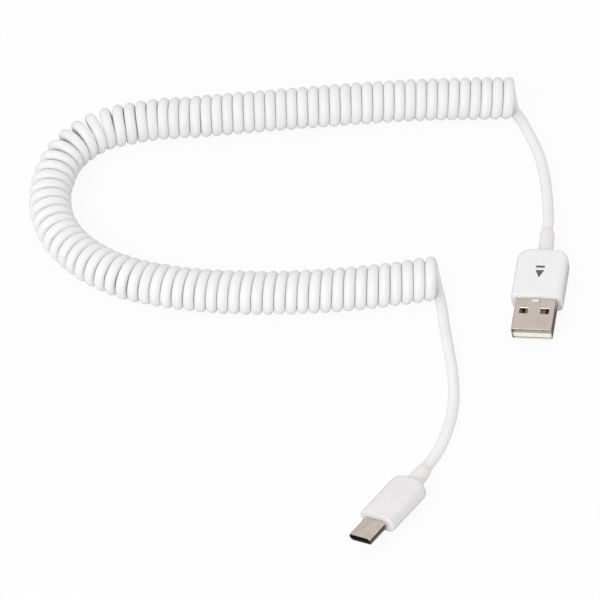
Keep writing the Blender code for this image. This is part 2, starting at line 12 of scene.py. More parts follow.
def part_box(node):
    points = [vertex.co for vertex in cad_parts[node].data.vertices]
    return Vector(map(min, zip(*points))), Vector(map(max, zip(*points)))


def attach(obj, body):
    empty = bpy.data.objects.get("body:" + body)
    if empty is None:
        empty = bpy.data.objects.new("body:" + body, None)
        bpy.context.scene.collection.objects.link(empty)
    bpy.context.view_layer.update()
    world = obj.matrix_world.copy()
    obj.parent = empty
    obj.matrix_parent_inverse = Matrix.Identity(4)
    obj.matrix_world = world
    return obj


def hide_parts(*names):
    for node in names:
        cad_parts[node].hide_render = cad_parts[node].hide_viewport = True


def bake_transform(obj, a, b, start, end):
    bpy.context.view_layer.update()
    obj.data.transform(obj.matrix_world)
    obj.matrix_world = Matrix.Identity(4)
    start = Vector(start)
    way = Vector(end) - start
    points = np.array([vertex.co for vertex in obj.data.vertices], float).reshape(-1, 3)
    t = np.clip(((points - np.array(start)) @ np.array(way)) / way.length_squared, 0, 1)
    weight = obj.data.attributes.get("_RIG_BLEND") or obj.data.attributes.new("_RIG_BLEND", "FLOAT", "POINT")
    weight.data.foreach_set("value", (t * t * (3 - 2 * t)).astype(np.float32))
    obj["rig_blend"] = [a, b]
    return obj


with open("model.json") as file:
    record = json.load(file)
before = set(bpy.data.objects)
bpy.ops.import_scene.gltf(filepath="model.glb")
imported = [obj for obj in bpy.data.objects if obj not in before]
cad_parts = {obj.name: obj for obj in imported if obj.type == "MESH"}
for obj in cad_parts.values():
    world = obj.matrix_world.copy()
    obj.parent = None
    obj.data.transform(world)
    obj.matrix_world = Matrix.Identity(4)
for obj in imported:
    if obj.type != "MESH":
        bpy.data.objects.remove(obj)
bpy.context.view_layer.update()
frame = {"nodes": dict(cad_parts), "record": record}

MM = 0.001

# The camera: which way it looks, and how far it is tipped to one side.
CAMERA_AZIMUTH = 22.18
CAMERA_ELEVATION = 49.65
CAMERA_TIP = 15.1
CAMERA_DISTANCE = 0.88
CAMERA_ANGLE = 11.73
CAMERA_TARGET = (-0.07269, -0.00832, 0.0)

# The cable lies where its CAD solids do. The coil's axis is seen from above, and the points
# of the straight tails are (x, y, height of the cable's centre).
COIL_ROUTE = [
    (-0.0173, 0.06945),
    (-0.0470, 0.06785),
    (-0.0850, 0.06335),
    (-0.1160, 0.05895),
    (-0.1360, 0.05605),
    (-0.1495, 0.05085),
    (-0.1566, 0.04245),
    (-0.1589, 0.03115),
    (-0.1572, 0.01965),
    (-0.1515, 0.00905),
    (-0.1420, 0.00025),
    (-0.1290, -0.00655),
    (-0.1120, -0.01035),
    (-0.0900, -0.01155),
    (-0.0680, -0.01025),
    (-0.0470, -0.00705),
    (-0.0305, -0.00325),
]
USB_A_TAIL_ROUTE = [
    (-0.0142, 0.06355, 0.00170),
    (-0.0110, 0.05765, 0.00170),
    (-0.0081, 0.05205, 0.00170),
    (-0.0060, 0.04645, 0.00170),
    (-0.0044, 0.04105, 0.00170),
    (-0.0031, 0.03565, 0.00200),
    (-0.0021, 0.03065, 0.00250),
    (-0.0013, 0.02615, 0.00300),
    (-0.0007, 0.02245, 0.00340),
]
USB_C_TAIL_ROUTE = [
    (-0.0289, -0.00935, 0.00170),
    (-0.0265, -0.01805, 0.00170),
    (-0.0240, -0.02635, 0.00170),
    (-0.0217, -0.03435, 0.00170),
    (-0.0201, -0.04235, 0.00170),
    (-0.0196, -0.05035, 0.00170),
    (-0.0203, -0.05695, 0.00170),
    (-0.0213, -0.06215, 0.00200),
]
ROUTE_CURVE_STEPS = 24  # between two given points of a route
COIL_AXIS_STEP = 0.5 * MM
BEND_SMOOTHING = 25  # places of the coil's axis, an odd number
COIL_PITCH = 3.42 * MM
INNER_TURN_SPACING = 1.02  # cable diameters, between turns on the inside of a bend
# How the turns lean at each end of the coil: how far each point of a turn shifts along the
# coil, for how far it stands to the side and up from the axis.
USB_A_END_LEAN = (-0.21, -0.14)
USB_C_END_LEAN = (-0.04, 0.10)
# Each turn is a little smaller than the coil, by these shares of its radius.
TURN_SLACK = 0.012
TURN_SLACK_WANDER = 0.006
POINTS_PER_TURN = 20
CABLE_SIDES = 16
INNER_CABLE_POINTS = 24

# Details of the plugs that the CAD solids leave plain.
FRONT_EDGE_RADIUS = 0.45 * MM
FRONT_EDGE_STEPS = 6
REAR_CORNER_STEPS = 13
HOUSING_WALL = 0.6 * MM
MOUTH_GAP = 0.06 * MM
RELIEF_SEAT_GAP = 0.04 * MM
A_REAR_CORNER = 3.4 * MM
A_REAR_EDGE = 0.9 * MM
A_SECTION_CORNER = 1.9 * MM
C_REAR_CORNER = 2.4 * MM
C_REAR_EDGE = 0.6 * MM
C_SECTION_CORNER = 2.6 * MM
A_SHELL_CORNER = 0.6 * MM
A_SHELL_WALL = 0.3 * MM
A_SHELL_EDGE = 0.12 * MM
C_SHELL_WALL = 0.27 * MM
C_SHELL_EDGE = 0.19 * MM
INNER_EDGE_GAP = 0.02 * MM
SHELL_EDGE_STEPS = 5
RELIEF_TAPER = {"usb_a": 0.1 * MM, "usb_c": 0.45 * MM}
RELIEF_SHOULDER = 1.8 * MM
RELIEF_LIP = 0.15 * MM
RELIEF_STEPS = 10
RELIEF_BORE_GAP = 0.04 * MM
# How far each relief's free end lies to the side, as its cable pulls it.
RELIEF_BEND = {"usb_a": -0.5 * MM, "usb_c": -0.45 * MM}
RELIEF_STRAIGHT = 2.0 * MM
# The turns of the coil press on each other, so their jacket is a little wider there.
PRESSED_WIDENING = 0.12 * MM
WINDOW_WIDTH = 2.5 * MM
WINDOW_LENGTH = 2.0 * MM
WINDOW_PLACES = ((-3.1 * MM, -4.7 * MM), (3.1 * MM, -4.7 * MM))
WINDOW_FLARE = 0.1 * MM
# The window cutter's levels, as (depth under the shell's face, how much wider it is there).
WINDOW_LEVELS = (
    (-0.2 * MM, WINDOW_FLARE),
    (0.0, WINDOW_FLARE),
    (WINDOW_FLARE, 0.0),
    (0.6 * MM, 0.0),
)
# The pip pressed up in the USB-A shell in front of the housing, as rings of (share of its
# size, height over the shell, material slot). Slot 1 is a paler metal on its top, a painted
# highlight.
PIP_WIDTH = 2.7 * MM
PIP_LENGTH = 1.3 * MM
PIP_FROM_HOUSING = 0.95 * MM
PIP_POINTS = 32
PIP_RINGS = (
    (1.12, -0.02 * MM, 0),
    (1.05, 0.10 * MM, 0),
    (0.92, 0.24 * MM, 1),
    (0.65, 0.30 * MM, 1),
    (0.30, 0.32 * MM, 1),
    (0.03, 0.33 * MM, 1),
)
MARK_HEIGHT = 0.02 * MM
MARK_LENGTH = 4.5 * MM
MARK_WIDTH = 2.6 * MM
MARK_BAR = 0.75 * MM
MARK_TRIANGLE_SHARE = 0.62
MARK_FROM_FRONT = 9.0 * MM
CORNER_STEPS = 10

# How far the floor shows as plain white, over what the light on it gives.
FLOOR_WHITENESS = 0.9
FLOOR_HALF_WIDTH = 3.0
SKY_STRENGTH = 0.87
FRONT_LIGHT_PLACE = (-0.4, -0.85, 0.68)
FRONT_LIGHT_TARGET = (-0.07, 0.0, 0.0)
FRONT_LIGHT_SIZE = 0.45
FRONT_LIGHT_POWER = 3.1
# The upright dark card: its x, how far it runs along y, and its height.
CARD_X = 0.2
CARD_Y = (-0.35, 0.02)
CARD_HEIGHT = 0.16


# ---------------------------------------------------------------- shapes


def smooth_route(points, step):
    """Points about step apart on a smooth curve through the given ones."""
    knots = [Vector(point) for point in points]
    gaps = [(b - a).length for a, b in zip(knots, knots[1:])]
    slopes = [(b - a) / gap for a, b, gap in zip(knots, knots[1:], gaps)]
    tangents = [slopes[0]]
    for before, after, near, far in zip(slopes, slopes[1:], gaps, gaps[1:]):
        tangents.append((before * far + after * near) / (near + far))
    tangents.append(slopes[-1])
    dense = []
    for i, gap in enumerate(gaps):
        for k in range(ROUTE_CURVE_STEPS):
            t = k / ROUTE_CURVE_STEPS
            start = knots[i] * (2 * t**3 - 3 * t**2 + 1) + tangents[i] * gap * (t**3 - 2 * t**2 + t)
            end = knots[i + 1] * (3 * t**2 - 2 * t**3) + tangents[i + 1] * gap * (t**3 - t**2)
            dense.append(start + end)
    dense.append(knots[-1])
    return even_points(dense, step)


def line_lengths(points):
    """How far along the line each point is."""
    lengths = [0.0]
    for a, b in zip(points, points[1:]):
        lengths.append(lengths[-1] + (b - a).length)
    return lengths


def even_points(points, step):
    """The same line with its points evenly spaced, about step apart."""
    lengths = line_lengths(points)
    count = max(2, round(lengths[-1] / step))
    wanted = np.linspace(0.0, lengths[-1], count + 1)
    columns = [np.interp(wanted, lengths, [point[k] for point in points]) for k in range(3)]
    return [Vector(place) for place in zip(*columns)]


def rounded_rectangle(width, height, corner):
    """(x, z) points round a rectangle with round corners, as many for every size."""
    corner = min(corner, width / 2 - 0.01 * MM, height / 2 - 0.01 * MM)
    across = width / 2 - corner
    up = height / 2 - corner
    centres = [(across, up), (-across, up), (-across, -up), (across, -up)]
    points = []
    for quarter, (x, z) in enumerate(centres):
        for step in range(CORNER_STEPS):
            angle = math.radians(90 * (quarter + step / (CORNER_STEPS - 1)))
            points.append((x + corner * math.cos(angle), z + corner * math.sin(angle)))
    return points


def circle(diameter):
    """A round outline with as many points as a rounded rectangle has."""
    return rounded_rectangle(diameter, diameter, diameter / 2)


def finish_mesh(name, shape, sharp_angle=30):
    """A smooth-shaded mesh of a shape, with its normals outwards and its hard edges sharp."""
    bmesh.ops.recalc_face_normals(shape, faces=shape.faces)
    mesh = bpy.data.meshes.new(name)
    shape.to_mesh(mesh)
    shape.free()
    mesh.shade_smooth()
    mesh.set_sharp_from_angle(angle=math.radians(sharp_angle))
    return mesh


def loft(name, stations, slots=None):
    """A hollow solid through outlines placed along y, which closes on its first outline.

    stations holds (y, outline) pairs. slots gives the material slot of each band of faces,
    where there is more than one.
    """
    shape = bmesh.new()
    rings = []
    for y, outline in stations:
        rings.append([shape.verts.new((x, y, z)) for x, z in outline])
    count = len(rings[0])
    for band, (first, second) in enumerate(zip(rings, rings[1:] + rings[:1])):
        for i in range(count):
            j = (i + 1) % count
            face = shape.faces.new((first[i], first[j], second[j], second[i]))
            face.material_index = slots[band] if slots else 0
    return finish_mesh(name, shape)


def tube(name, points, radii):
    """A round tube with closed ends and a radius for each of its points.

    Its UV map runs round it and along it, in metres.
    """
    tangents = [(points[1] - points[0]).normalized()]
    for before, after in zip(points, points[2:]):
        tangents.append((after - before).normalized())
    tangents.append((points[-1] - points[-2]).normalized())
    side = tangents[0].orthogonal().normalized()
    shape = bmesh.new()
    rings = []
    for point, tangent, radius in zip(points, tangents, radii):
        side = (side - tangent * side.dot(tangent)).normalized()
        other = tangent.cross(side)
        ring = []
        for i in range(CABLE_SIDES):
            angle = 2 * math.pi * i / CABLE_SIDES
            offset = side * math.cos(angle) + other * math.sin(angle)
            ring.append(shape.verts.new(point + offset * radius))
        rings.append(ring)
    layer = shape.loops.layers.uv.new("UVMap")
    lengths = line_lengths(points)
    around = 2 * math.pi * radii[0] / CABLE_SIDES
    for k, (first, second) in enumerate(zip(rings, rings[1:])):
        for i in range(CABLE_SIDES):
            j = (i + 1) % CABLE_SIDES
            face = shape.faces.new((first[i], first[j], second[j], second[i]))
            corners = ((i, k), (i + 1, k), (i + 1, k + 1), (i, k + 1))
            for loop, (turn, row) in zip(face.loops, corners):
                loop[layer].uv = (turn * around, lengths[row])
    shape.faces.new(rings[0])
    shape.faces.new(rings[-1])
    return finish_mesh(name, shape, sharp_angle=60)


def add_piece(name, mesh, material, place=None):
    """An object of a mesh. place carries a mesh from a plug's own frame into the scene."""
    piece = bpy.data.objects.new(name, mesh)
    bpy.context.scene.collection.objects.link(piece)
    piece.data.materials.append(material)
    if place is not None:
        mesh.transform(place)
    return piece


# ---------------------------------------------------------------- the plugs' own frames


def plug_frame(prefix):
    """Where a plug is: x across it, y back from the housing's front face, z up through it."""
    stop = next(m for m in frame["record"]["mounts"] if m["name"] == f"{prefix}_stop")
    back = -Vector(stop["axis"]).normalized()
    corners = np.array([v.co for v in frame["nodes"][f"{prefix}_housing"].data.vertices])
    flat = corners - corners.mean(axis=0)
    flat -= np.outer(flat @ np.array(back), np.array(back))
    _, _, directions = np.linalg.svd(flat, full_matrices=False)
    across = Vector(directions[0])
    up = across.cross(back).normalized()
    if up.z < 0:
        across, up = -across, -up
    axes = Matrix((across, back, up)).transposed()
    low, high = local_box(axes.to_4x4(), f"{prefix}_shell")
    front = local_box(axes.to_4x4(), f"{prefix}_housing")[0].y
    middle = (low + high) / 2
    origin = axes @ Vector((middle.x, front, middle.z))
    return Matrix.Translation(origin) @ axes.to_4x4()


def local_box(place, node):
    """The lowest and highest corner of a CAD node in a plug's own frame."""
    into = place.inverted()
    points = [into @ vertex.co for vertex in frame["nodes"][node].data.vertices]
    low = Vector([min(point[k] for point in points) for k in range(3)])
    high = Vector([max(point[k] for point in points) for k in range(3)])
    return low, high


PLUG_A = plug_frame("usb_a")
PLUG_C = plug_frame("usb_c")


def sizes(place, node):
    """How wide, long and high a CAD node is in a plug's own frame."""
    low, high = local_box(place, node)
    return high - low


CABLE_DIAMETER = sizes(PLUG_A, "usb_a_cable_end").x
COIL_DIAMETER = sizes(Matrix(), "coil_top_run").z
COIL_HEIGHT = sum(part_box("coil_top_run")[k][2] for k in (0, 1)) / 2


# ---------------------------------------------------------------- camera


def add_camera():
    """Looks down at the cable from the front, tipped to one side."""
    azimuth = math.radians(CAMERA_AZIMUTH)
    elevation = math.radians(CAMERA_ELEVATION)
    tip = math.radians(CAMERA_TIP)
    level = math.cos(elevation)
    forward = Vector((-math.sin(azimuth) * level, math.cos(azimuth) * level, -math.sin(elevation)))
    right = forward.cross(Vector((0, 0, 1))).normalized()
    up = right.cross(forward)
    tipped_right = right * math.cos(tip) - up * math.sin(tip)
    tipped_up = up * math.cos(tip) + right * math.sin(tip)
    data = bpy.data.cameras.new("camera")
    data.sensor_fit = "HORIZONTAL"
    data.angle = math.radians(CAMERA_ANGLE)
    data.clip_start = 0.01
    camera = bpy.data.objects.new("camera", data)
    bpy.context.scene.collection.objects.link(camera)
    turn = Matrix((tipped_right, tipped_up, -forward)).transposed()
    place = Vector(CAMERA_TARGET) - forward * CAMERA_DISTANCE
    camera.matrix_world = Matrix.Translation(place) @ turn.to_4x4()
    bpy.context.scene.camera = camera


# ---------------------------------------------------------------- materials


def add_node(tree, kind, **settings):
    """A shader node with its own settings."""
    node = tree.nodes.new(kind)
    for name, value in settings.items():
        setattr(node, name, value)
    return node


def new_group(name, inputs, outputs):
    """A shader node group. inputs holds (name, socket type, value), outputs (name, type)."""
    tree = bpy.data.node_groups.new(name, "ShaderNodeTree")
    for label, kind, value in inputs:
        socket = tree.interface.new_socket(name=label, in_out="INPUT", socket_type=kind)
        if value is not None:
            socket.default_value = value
    for label, kind in outputs:
        tree.interface.new_socket(name=label, in_out="OUTPUT", socket_type=kind)
    return tree, add_node(tree, "NodeGroupInput"), add_node(tree, "NodeGroupOutput")


def noise_in(tree, vector, scale, detail=4.0):
    """A noise texture with its scale wired to a socket or set to a number."""
    noise = add_node(tree, "ShaderNodeTexNoise")
    noise.inputs["Detail"].default_value = detail
    tree.links.new(vector, noise.inputs["Vector"])
    if isinstance(scale, (int, float)):
        noise.inputs["Scale"].default_value = scale
    else:
        tree.links.new(scale, noise.inputs["Scale"])
    return noise.outputs["Fac"]


def make_cloudy_group():
    """Soft uneven patches of a second colour over the first."""
    tree, given, out = new_group(
        "cloudy_colour",
        [
            ("Vector", "NodeSocketVector", None),
            ("Colour", "NodeSocketColor", (0.8, 0.8, 0.8, 1)),
            ("Patch Colour", "NodeSocketColor", (0.75, 0.75, 0.75, 1)),
            ("Patch Scale", "NodeSocketFloat", 150.0),
            ("Strength", "NodeSocketFloat", 1.0),
        ],
        [("Colour", "NodeSocketColor")],
    )
    patches = noise_in(tree, given.outputs["Vector"], given.outputs["Patch Scale"])
    spread = add_node(tree, "ShaderNodeMapRange", interpolation_type="SMOOTHSTEP")
    spread.inputs["From Min"].default_value = 0.35
    spread.inputs["From Max"].default_value = 0.7
    tree.links.new(patches, spread.inputs["Value"])
    tree.links.new(given.outputs["Strength"], spread.inputs["To Max"])
    mix = add_node(tree, "ShaderNodeMix", data_type="RGBA")
    tree.links.new(spread.outputs["Result"], mix.inputs[0])
    tree.links.new(given.outputs["Colour"], mix.inputs[6])
    tree.links.new(given.outputs["Patch Colour"], mix.inputs[7])
    tree.links.new(mix.outputs[2], out.inputs["Colour"])
    return tree


def make_gloss_group():
    """Roughness that wanders a little from place to place."""
    tree, given, out = new_group(
        "uneven_gloss",
        [
            ("Vector", "NodeSocketVector", None),
            ("Smoothest", "NodeSocketFloat", 0.25),
            ("Roughest", "NodeSocketFloat", 0.4),
            ("Patch Scale", "NodeSocketFloat", 300.0),
        ],
        [("Roughness", "NodeSocketFloat")],
    )
    patches = noise_in(tree, given.outputs["Vector"], given.outputs["Patch Scale"], 6.0)
    spread = add_node(tree, "ShaderNodeMapRange")
    spread.inputs["From Min"].default_value = 0.3
    spread.inputs["From Max"].default_value = 0.7
    tree.links.new(patches, spread.inputs["Value"])
    tree.links.new(given.outputs["Smoothest"], spread.inputs["To Min"])
    tree.links.new(given.outputs["Roughest"], spread.inputs["To Max"])
    tree.links.new(spread.outputs["Result"], out.inputs["Roughness"])
    return tree


def make_grain_group():
    """A fine moulded grain, as a normal."""
    tree, given, out = new_group(
        "moulded_grain",
        [
            ("Vector", "NodeSocketVector", None),
            ("Grain Scale", "NodeSocketFloat", 3000.0),
            ("Depth", "NodeSocketFloat", 0.00002),
        ],
        [("Normal", "NodeSocketVector")],
    )
    grain = noise_in(tree, given.outputs["Vector"], given.outputs["Grain Scale"], 2.0)
    bump = add_node(tree, "ShaderNodeBump")
    tree.links.new(grain, bump.inputs["Height"])
    tree.links.new(given.outputs["Depth"], bump.inputs["Distance"])
    tree.links.new(bump.outputs["Normal"], out.inputs["Normal"])
    return tree


def make_streak_group():
    """Long fine streaks: a mask from 0 to 1, drawn out along one axis of the coordinates."""
    tree, given, out = new_group(
        "long_streaks",
        [
            ("Vector", "NodeSocketVector", None),
            ("Across", "NodeSocketVector", (3000.0, 60.0, 3000.0)),
        ],
        [("Mask", "NodeSocketFloat")],
    )
    stretch = add_node(tree, "ShaderNodeVectorMath", operation="MULTIPLY")
    tree.links.new(given.outputs["Vector"], stretch.inputs[0])
    tree.links.new(given.outputs["Across"], stretch.inputs[1])
    streaks = noise_in(tree, stretch.outputs["Vector"], 1.0, 3.0)
    spread = add_node(tree, "ShaderNodeMapRange", interpolation_type="SMOOTHSTEP")
    spread.inputs["From Min"].default_value = 0.35
    spread.inputs["From Max"].default_value = 0.65
    tree.links.new(streaks, spread.inputs["Value"])
    tree.links.new(spread.outputs["Result"], out.inputs["Mask"])
    return tree


CLOUDY = make_cloudy_group()
GLOSS = make_gloss_group()
GRAIN = make_grain_group()
STREAKS = make_streak_group()


def new_material(name, coordinates="Object"):
    """A material and its parts: (material, node tree, shader, coordinate socket)."""
    material = bpy.data.materials.new(name)
    material.use_nodes = True
    tree = material.node_tree
    shader = tree.nodes["Principled BSDF"]
    place = add_node(tree, "ShaderNodeTexCoord").outputs[coordinates]
    return material, tree, shader, place


def place_group(tree, group, vector, **values):
    """Puts a group in a material. Underscores in the value names stand for spaces."""
    node = add_node(tree, "ShaderNodeGroup", node_tree=group)
    tree.links.new(vector, node.inputs["Vector"])
    for name, value in values.items():
        node.inputs[name.replace("_", " ")].default_value = value
    return node.outputs[0]


def moulded(name, colour, patch, gloss, grain_depth, coat=0.0):
    """A moulded plastic: a faintly cloudy colour, uneven gloss and a fine grain."""
    material, tree, shader, place = new_material(name)
    colour_node = place_group(
        tree, CLOUDY, place, Colour=(*colour, 1), Patch_Colour=(*patch, 1), Patch_Scale=260.0
    )
    gloss_node = place_group(
        tree, GLOSS, place, Smoothest=gloss[0], Roughest=gloss[1], Patch_Scale=700.0
    )
    grain_node = place_group(tree, GRAIN, place, Grain_Scale=4200.0, Depth=grain_depth)
    tree.links.new(colour_node, shader.inputs["Base Color"])
    tree.links.new(gloss_node, shader.inputs["Roughness"])
    tree.links.new(grain_node, shader.inputs["Normal"])
    shader.inputs["Coat Weight"].default_value = coat
    shader.inputs["Coat Roughness"].default_value = 0.12
    return material


def let_light_in(material, weight, depth):
    """Lets light soak into a white plastic, so that its creases stay pale."""
    shader = material.node_tree.nodes["Principled BSDF"]
    shader.inputs["Subsurface Weight"].default_value = weight
    shader.inputs["Subsurface Radius"].default_value = (1.0, 0.96, 0.92)
    shader.inputs["Subsurface Scale"].default_value = depth


def drawn_metal(name, colour, stained, gloss, streak_scale):
    """Sheet metal with rolling streaks and faint stains."""
    material, tree, shader, place = new_material(name)
    shader.inputs["Metallic"].default_value = 1.0
    clouds = place_group(
        tree, CLOUDY, place, Colour=(*colour, 1), Patch_Colour=(*stained, 1), Patch_Scale=420.0
    )
    streaks = place_group(tree, STREAKS, place, Across=streak_scale)
    mix = add_node(tree, "ShaderNodeMix", data_type="RGBA", blend_type="MULTIPLY")
    mix.inputs[0].default_value = 1.0
    shade = add_node(tree, "ShaderNodeMapRange")
    shade.inputs["To Min"].default_value = 0.95
    tree.links.new(streaks, shade.inputs["Value"])
    tree.links.new(clouds, mix.inputs[6])
    tree.links.new(shade.outputs["Result"], mix.inputs[7])
    tree.links.new(mix.outputs[2], shader.inputs["Base Color"])
    rough = add_node(tree, "ShaderNodeMapRange")
    rough.inputs["To Min"].default_value = gloss[0]
    rough.inputs["To Max"].default_value = gloss[1]
    tree.links.new(streaks, rough.inputs["Value"])
    tree.links.new(rough.outputs["Result"], shader.inputs["Roughness"])
    bump = add_node(tree, "ShaderNodeBump")
    bump.inputs["Distance"].default_value = 0.0006 * MM
    tree.links.new(streaks, bump.inputs["Height"])
    tree.links.new(bump.outputs["Normal"], shader.inputs["Normal"])
    return material


def cable_jacket():
    """Soft white jacket with faint extrusion streaks along it."""
    material, tree, shader, place = new_material("cable_jacket", "UV")
    streaks = place_group(tree, STREAKS, place, Across=(2200.0, 40.0, 1.0))
    clouds = place_group(
        tree,
        CLOUDY,
        place,
        Colour=(0.905, 0.905, 0.905, 1),
        Patch_Colour=(0.875, 0.875, 0.88, 1),
        Patch_Scale=120.0,
    )
    mix = add_node(tree, "ShaderNodeMix", data_type="RGBA", blend_type="MULTIPLY")
    mix.inputs[0].default_value = 1.0
    shade = add_node(tree, "ShaderNodeMapRange")
    shade.inputs["To Min"].default_value = 0.95
    tree.links.new(streaks, shade.inputs["Value"])
    tree.links.new(clouds, mix.inputs[6])
    tree.links.new(shade.outputs["Result"], mix.inputs[7])
    tree.links.new(mix.outputs[2], shader.inputs["Base Color"])
    rough = place_group(tree, GLOSS, place, Smoothest=0.34, Roughest=0.5, Patch_Scale=500.0)
    tree.links.new(rough, shader.inputs["Roughness"])
    bump = add_node(tree, "ShaderNodeBump")
    bump.inputs["Distance"].default_value = 0.012 * MM
    tree.links.new(streaks, bump.inputs["Height"])
    tree.links.new(bump.outputs["Normal"], shader.inputs["Normal"])
    return material


JACKET = cable_jacket()
A_HOUSING = moulded(
    "usb_a_white", (0.88, 0.875, 0.88), (0.85, 0.84, 0.85), (0.2, 0.3), 0.004 * MM, coat=0.25
)
# The USB-C body's white is a darker copy of the USB-A body's white: painted shade, for the weaker light on
# it.
C_BODY_PAINTED_SHADE = moulded(
    "usb_c_painted_shade_white", (0.83, 0.81, 0.815), (0.79, 0.775, 0.785), (0.2, 0.3), 0.004 * MM, coat=0.25
)
RELIEF = moulded("relief_white", (0.87, 0.845, 0.84), (0.83, 0.805, 0.805), (0.42, 0.56), 0.01 * MM)
let_light_in(JACKET, 0.45, 1.2 * MM)
MARK = moulded("mark_grey", (0.09, 0.09, 0.1), (0.13, 0.13, 0.14), (0.45, 0.6), 0.003 * MM)
CREAM = moulded("carrier_cream", (0.95, 0.925, 0.87), (0.92, 0.89, 0.82), (0.35, 0.5), 0.006 * MM)
# Black plastic. It also lines the inside of the USB-C shell, where it is painted shade.
DARK_PLASTIC_AND_PAINTED_SHADE = moulded("dark_plastic_and_painted_shade", (0.012, 0.012, 0.013), (0.02, 0.02, 0.02), (0.35, 0.5), 0.008 * MM)
BOARD = moulded("board_green", (0.02, 0.13, 0.06), (0.03, 0.2, 0.09), (0.3, 0.45), 0.01 * MM)
NICKEL = drawn_metal(
    "shell_nickel", (0.675, 0.6, 0.55), (0.635, 0.555, 0.5), (0.24, 0.34), (2600.0, 260.0, 2600.0)
)
POLISHED = drawn_metal(
    "shell_polished", (0.68, 0.6, 0.55), (0.6, 0.51, 0.45), (0.13, 0.22), (2600.0, 260.0, 2600.0)
)
# A pale metal for the USB-A shell's rims and the top of its pip: a painted highlight.
PAINTED_HIGHLIGHT_METAL = drawn_metal(
    "shell_painted_highlight", (0.95, 0.93, 0.89), (0.9, 0.87, 0.82), (0.5, 0.65), (3000.0, 3000.0, 3000.0)
)
# A dark brown metal for the inside of the USB-A shell: painted shade, with a painted reflection of its gold
# contacts.
PAINTED_SHADE_INSIDE = drawn_metal(
    "shell_painted_shade_inside", (0.5, 0.36, 0.24), (0.42, 0.3, 0.19), (0.4, 0.55), (2000.0, 200.0, 2000.0)
)
STEEL = drawn_metal(
    "inner_steel", (0.56, 0.56, 0.57), (0.5, 0.49, 0.48), (0.28, 0.45), (2000.0, 120.0, 2000.0)
)
GOLD = drawn_metal(
    "contact_gold", (0.86, 0.62, 0.24), (0.76, 0.5, 0.17), (0.4, 0.55), (4000.0, 100.0, 4000.0)
)
CORE_MATERIALS = {
    "power": moulded("core_red", (0.6, 0.03, 0.03), (0.5, 0.02, 0.02), (0.35, 0.5), 0.004 * MM),
    "data_minus": moulded("core_white", (0.8, 0.8, 0.78), (0.75, 0.75, 0.72), (0.35, 0.5), 0.004 * MM),
    "data_plus": moulded("core_green", (0.04, 0.35, 0.1), (0.03, 0.28, 0.08), (0.35, 0.5), 0.004 * MM),
    "ground": moulded("core_black", (0.02, 0.02, 0.02), (0.03, 0.03, 0.03), (0.35, 0.5), 0.004 * MM),
}


def dress_inner_nodes():
    """Gives each CAD node that is kept as it is its finished material."""
    for name, node in frame["nodes"].items():
        if "_core_" in name:
            material = CORE_MATERIALS[name.split("_core_")[1]]
        elif "contact" in name:
            material = GOLD
        elif "rear_shield" in name or "latch" in name:
            material = STEEL
        elif name.endswith("board"):
            material = BOARD
        elif name.endswith("resistor"):
            material = DARK_PLASTIC_AND_PAINTED_SHADE
        else:
            continue
        node.data.materials.clear()
        node.data.materials.append(material)


# ---------------------------------------------------------------- the cable


def coil_wire():
    """The centre line of the coiled cable, from its USB-A end to its USB-C end.

    The turns lie close in the straight runs. In a bend they touch on its inside and fan out
    on its outside. Both ends leave from under the coil.
    """
    axis = smooth_route([(x, y, COIL_HEIGHT) for x, y in COIL_ROUTE], COIL_AXIS_STEP)
    radius = (COIL_DIAMETER - CABLE_DIAMETER) / 2
    lengths = np.array(line_lengths(axis))
    places = np.array(axis)
    headings = np.unwrap(np.arctan2(np.gradient(places[:, 1]), np.gradient(places[:, 0])))
    bends = np.abs(np.gradient(headings, lengths))
    smoothing = np.ones(BEND_SMOOTHING) / BEND_SMOOTHING
    bends = np.convolve(np.pad(bends, BEND_SMOOTHING // 2, mode="edge"), smoothing, mode="valid")
    closest = INNER_TURN_SPACING * CABLE_DIAMETER
    pitches = np.maximum(COIL_PITCH, closest / (1 - radius * bends))
    turns = np.concatenate([[0], np.cumsum(np.diff(lengths) * 2 / (pitches[1:] + pitches[:-1]))])
    # The pitch gives a little, so that a whole number of turns ends under the coil.
    turns *= round(turns[-1]) / turns[-1]
    points = []
    for step in range(round(turns[-1]) * POINTS_PER_TURN + 1):
        turn = step / POINTS_PER_TURN
        along = np.interp(turn, turns, lengths)
        heading = np.interp(along, lengths, headings)
        centre = Vector([np.interp(along, lengths, places[:, k]) for k in range(3)])
        onward = Vector((math.cos(heading), math.sin(heading), 0))
        sideways = Vector((-math.sin(heading), math.cos(heading), 0))
        angle = -math.pi / 2 - 2 * math.pi * turn
        wander = math.sin(turn * 1.7) + math.sin(turn * 0.61 + 1)
        tightness = 1 - TURN_SLACK - TURN_SLACK_WANDER * wander
        share = along / lengths[-1]
        lean, tilt = (a + (b - a) * share for a, b in zip(USB_A_END_LEAN, USB_C_END_LEAN))
        offset = sideways * math.cos(angle) + Vector((0, 0, 1)) * math.sin(angle)
        offset += onward * (lean * math.cos(angle) + tilt * math.sin(angle))
        points.append(centre + offset * radius * tightness)
    return points


def on_floor(points):
    """Keeps a line of cable from dipping into the floor between its points."""
    low = (CABLE_DIAMETER + PRESSED_WIDENING) / 2
    return [Vector((point.x, point.y, max(point.z, low))) for point in points]


def cable_radii(lengths, coil_start, coil_end):
    """Half the cable's width along it. It widens and narrows over one turn of the coil."""
    turn = math.pi * (COIL_DIAMETER - CABLE_DIAMETER)
    into = np.clip((np.array(lengths) - coil_start) / turn, 0, 1)
    left = np.clip((coil_end - np.array(lengths)) / turn, 0, 1)
    return (CABLE_DIAMETER + PRESSED_WIDENING * into * left) / 2


def relief_span(prefix, place):
    """Where along a plug its strain relief leaves the housing, and where it ends."""
    leaves = local_box(place, f"{prefix}_housing")[1].y
    ends = local_box(place, f"{prefix}_strain_relief")[1].y
    return leaves, ends


